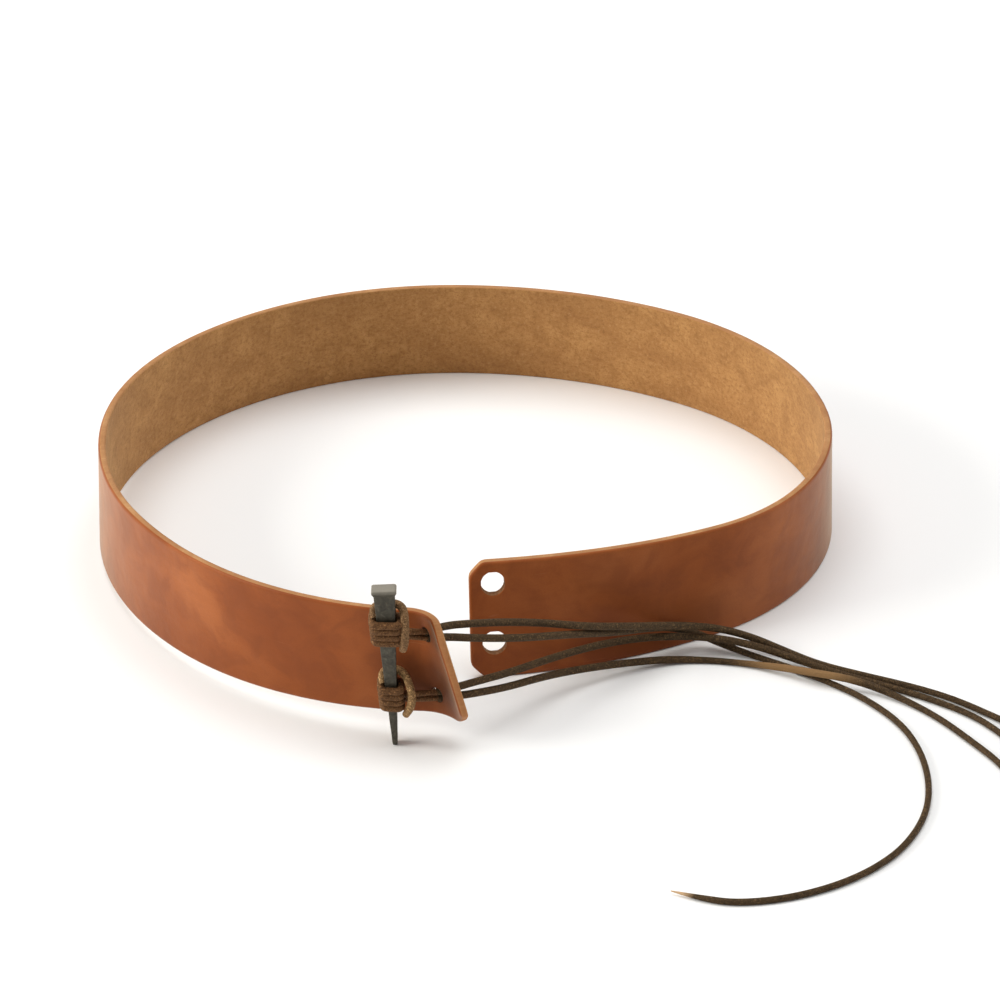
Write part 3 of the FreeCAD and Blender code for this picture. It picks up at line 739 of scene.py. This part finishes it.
def make_nail(material):
    """Square cut nail: flat tapered shank, small flared head with worn edges."""
    neck = NAIL_LENGTH - NAIL_HEAD_HEIGHT
    rings = [nail_ring(NAIL_TIP_WIDTH - 0.7, NAIL_THICK - 1.0, 0.02, 0.25),
             nail_ring(NAIL_TIP_WIDTH - 0.15, NAIL_THICK - 0.25, 0.45, 0.3)]
    for level in range(1, SHANK_LEVELS):
        up = neck * level / SHANK_LEVELS
        dent = 0.10 * (math.sin(1.9 * up) * math.sin(0.53 * up + 0.7)) ** 2
        side_dent = 0.12 * (math.sin(1.1 * up + 0.4) * math.sin(0.31 * up)) ** 2
        rings.append(nail_ring(nail_width(up) - side_dent, NAIL_THICK - dent, up, 0.32))
    neck_width = nail_width(neck)
    for wider, thicker, up, bevel in HEAD_RINGS:
        rings.append(nail_ring(neck_width + (NAIL_HEAD_WIDTH - neck_width) * wider,
                               NAIL_THICK + (NAIL_HEAD_THICK - NAIL_THICK) * thicker,
                               neck + up, bevel))
    for narrower, thinner, below, bevel in TOP_RINGS:
        rings.append(nail_ring(NAIL_HEAD_WIDTH - narrower, NAIL_HEAD_THICK - thinner,
                               NAIL_LENGTH - below, bevel))
    count = len(rings[0])
    vertices = [place * MM for ring in rings for place in ring]
    faces = []
    for level in range(len(rings) - 1):
        for index in range(count):
            after = (index + 1) % count
            faces.append((level * count + index, level * count + after,
                          (level + 1) * count + after, (level + 1) * count + index))
    faces.append(tuple(reversed(range(count))))
    faces.append(tuple((len(rings) - 1) * count + index for index in range(count)))
    mesh = bpy.data.meshes.new("nail_forged")
    mesh.from_pydata(vertices, [], faces)
    mesh.shade_smooth()
    mesh.materials.append(material)
    piece = bpy.data.objects.new("nail_forged", mesh)
    bpy.context.scene.collection.objects.link(piece)
    sharp = piece.modifiers.new("sharp_edges", "EDGE_SPLIT")
    sharp.split_angle = math.radians(50.0)
    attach(piece, "nail")
    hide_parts("nail")


make_nail(dark_iron())


# ---- the lashings -------------------------------------------------------------------------
# Sides of the nail in winding order, each from one corner to the next, as (across, depth): left
# going forward, front going right, right going back and back going left.
NAIL_SIDES = (((-1, 1), (-1, -1)), ((-1, -1), (1, -1)), ((1, -1), (1, 1)), ((1, 1), (-1, 1)))
SIDE_SHARES = (0.0, 0.34, 0.68, 1.0)   # where the lace's points lie along a side
WRAP_START = 0.75                      # in turns past the back left corner: the back right one
WRAP_LEAD = 0.25                       # the winding runs on by this much of a turn


def wrap_points(highest, turns):
    """Control points of lace wound down the nail from height `highest`, `turns` times."""
    points = []
    turn_steps = len(NAIL_SIDES) * len(SIDE_SHARES)
    reach = LACE / 2.0 + WRAP_CLEAR
    half_deep = NAIL_THICK / 2.0 + RUNNING_GAP
    for step in range(round(turns * turn_steps) + 1):
        up = highest - TURN_DROP * (step / turn_steps)
        half_wide = nail_width(up + LACE / 2.0) / 2.0 + RUNNING_GAP
        turned = (WRAP_START + step / turn_steps) % 1.0
        side, part = divmod(int(turned * turn_steps), len(SIDE_SHARES))
        (from_x, from_y), (to_x, to_y) = NAIL_SIDES[side]
        across = from_x * half_wide + (to_x - from_x) * half_wide * SIDE_SHARES[part]
        depth = from_y * half_deep + (to_y - from_y) * half_deep * SIDE_SHARES[part]
        if from_x == to_x:
            across += to_x * reach
        else:
            depth += to_y * reach
        points.append(on_nail(across, depth, up))
        if SIDE_SHARES[part] == 1.0:
            outward = CORNER_REACH * reach
            points.append(on_nail(to_x * (half_wide + outward), to_y * (half_deep + outward), up))
    return points


def lashing(name, node, middle, drop, pivots, wrap_material, lock_material, bow):
    """One lashing: four turns on the nail, two strands to the hole, the locking end over them."""
    highest = middle + (WRAP_TURNS - 1) / 2.0 * WRAP_PITCH + 0.45 * WRAP_PITCH
    side = nail_width(middle) / 2.0 + RUNNING_GAP + LACE / 2.0
    points = wrap_points(highest, WRAP_TURNS + WRAP_LEAD)
    feeds = [middle - drop + 0.5 * WRAP_PITCH, middle - drop - 0.5 * WRAP_PITCH]
    back = NAIL_THICK / 2.0 + LACE / 2.0
    front = -(back + RUNNING_GAP)
    first = [on_nail(0.0, back, feeds[0] + 0.6), on_nail(side - 0.9, back - 0.2, feeds[0] + 0.3),
             on_nail(side + 0.1, -0.6, feeds[0]), pivots[0]]
    second = [on_nail(0.0, back, feeds[1] + 0.6), on_nail(side - 1.4, back, feeds[1] + 0.2),
              on_nail(side + 0.2, 0.8, feeds[1]), pivots[1]]
    strand, strand_radii = LACE / 2.0 - 0.05, [1.0, 1.0, 1.0, 0.72]
    # The locking end rises behind the nail, comes round its right side and hangs over the turns.
    lock = [on_nail(0.6 - side, -0.9, highest + 0.3),
            on_nail(-side - 0.1, 1.0, highest + 1.7),
            on_nail(1.2 - side, back + 0.1, highest + 2.8),
            on_nail(0.3, back + 0.2, highest + 3.3),
            on_nail(side - 0.6, back, highest + 3.1),
            on_nail(side + 1.5, 1.6, highest + 2.4),
            on_nail(side + 1.9 + 0.5 * bow, -1.0, highest + 0.6),
            on_nail(side + 1.7 + bow, front + 0.3, middle + 2.2),
            on_nail(side + 1.5 + bow, front - 0.5, middle - drop + 0.5),
            on_nail(side + 1.0 + 0.7 * bow, front - 0.2, middle - 5.0),
            on_nail(side + 0.6 + 0.3 * bow, front + 0.3, middle - 7.4)]
    lock_radii = [0.8, 0.95, 0.95, 0.95, 1.0, 1.0, 1.0, 1.0, 1.0, 1.05, 0.9]
    pieces = [curve_object(name + "_turns", points, LACE / 2.0, wrap_material),
              curve_object(name + "_strand_a", first, strand, wrap_material, strand_radii),
              curve_object(name + "_strand_b", second, strand, wrap_material, strand_radii),
              curve_object(name + "_lock", lock, LACE / 2.0 + 0.1, lock_material, lock_radii)]
    for piece in pieces:
        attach(piece, "toggle")
    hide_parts(node)


WRAP_DARK = (0.080, 0.034, 0.012)
WRAP_LIGHT = (0.255, 0.126, 0.052)
wrap_leather = lace_leather("lace_wrapped", WRAP_DARK, WRAP_LIGHT, 0.85)
upper_lock = lace_leather("lace_lock_upper", (0.115, 0.058, 0.024), (0.33, 0.190, 0.088), 0.95)
lower_lock = lace_leather("lace_lock_lower", (0.125, 0.062, 0.024), (0.50, 0.300, 0.130), 1.0)
lashing("upper_lashing", "upper_thong_wrap", UPPER_WRAP_AT, UPPER_FEED_DROP,
        (Vector(STRAIGHT_START), Vector(CURLED_START)), wrap_leather, upper_lock, 0.3)
lashing("lower_lashing", "lower_thong_wrap", LOWER_WRAP_AT, LOWER_FEED_DROP,
        (Vector(HIGH_START), Vector(LOW_START)), wrap_leather, lower_lock, 2.3)


# ---- floor and light, in metres -----------------------------------------------------------
FLOOR_HALF = 6.0
# Name, place, what it shines at, size, watts and colour.
LAMPS = (("key", (-1.75, -0.35, 0.75), (0.0, 0.0, 0.0), 1.0, 36.0, (1.0, 0.985, 0.93)),
         ("side", (1.75, 0.15, 0.7), (0.0, 0.0, 0.02), 0.9, 10.0, (1.0, 1.0, 1.0)),
         ("top", (0.0, 0.3, 1.9), (0.0, 0.0, 0.0), 2.0, 30.0, (1.0, 1.0, 1.0)))


def make_floor():
    mesh = bpy.data.meshes.new("floor")
    corners = [(x * FLOOR_HALF, y * FLOOR_HALF, 0.0) for x, y in ((-1, -1), (1, -1), (1, 1), (-1, 1))]
    mesh.from_pydata(corners, [], [(0, 1, 2, 3)])
    n = Nodes("floor_paint")
    mesh.materials.append(n.finish(Base_Color=(0.92, 0.92, 0.915), Roughness=0.9,
                                   Specular_IOR_Level=0.1))
    floor = bpy.data.objects.new("floor", mesh)
    bpy.context.scene.collection.objects.link(floor)


def soft_light(name, place, target, size, power, colour):
    data = bpy.data.lights.new(name, "AREA")
    data.shape = "RECTANGLE"
    data.size = data.size_y = size
    data.energy = power
    data.color = colour
    lamp = bpy.data.objects.new(name, data)
    lamp.location = place
    lamp.rotation_euler = (Vector(target) - Vector(place)).to_track_quat("-Z", "Y").to_euler()
    bpy.context.scene.collection.objects.link(lamp)


def make_light():
    world = bpy.data.worlds.new("studio")
    world.use_nodes = True
    background = world.node_tree.nodes["Background"].inputs
    background["Color"].default_value = (1.0, 0.99, 0.97, 1.0)
    background["Strength"].default_value = 0.31
    bpy.context.scene.world = world
    for lamp in LAMPS:
        soft_light(*lamp)


make_floor()
make_light()
bpy.context.scene.view_settings.view_transform = "Standard"
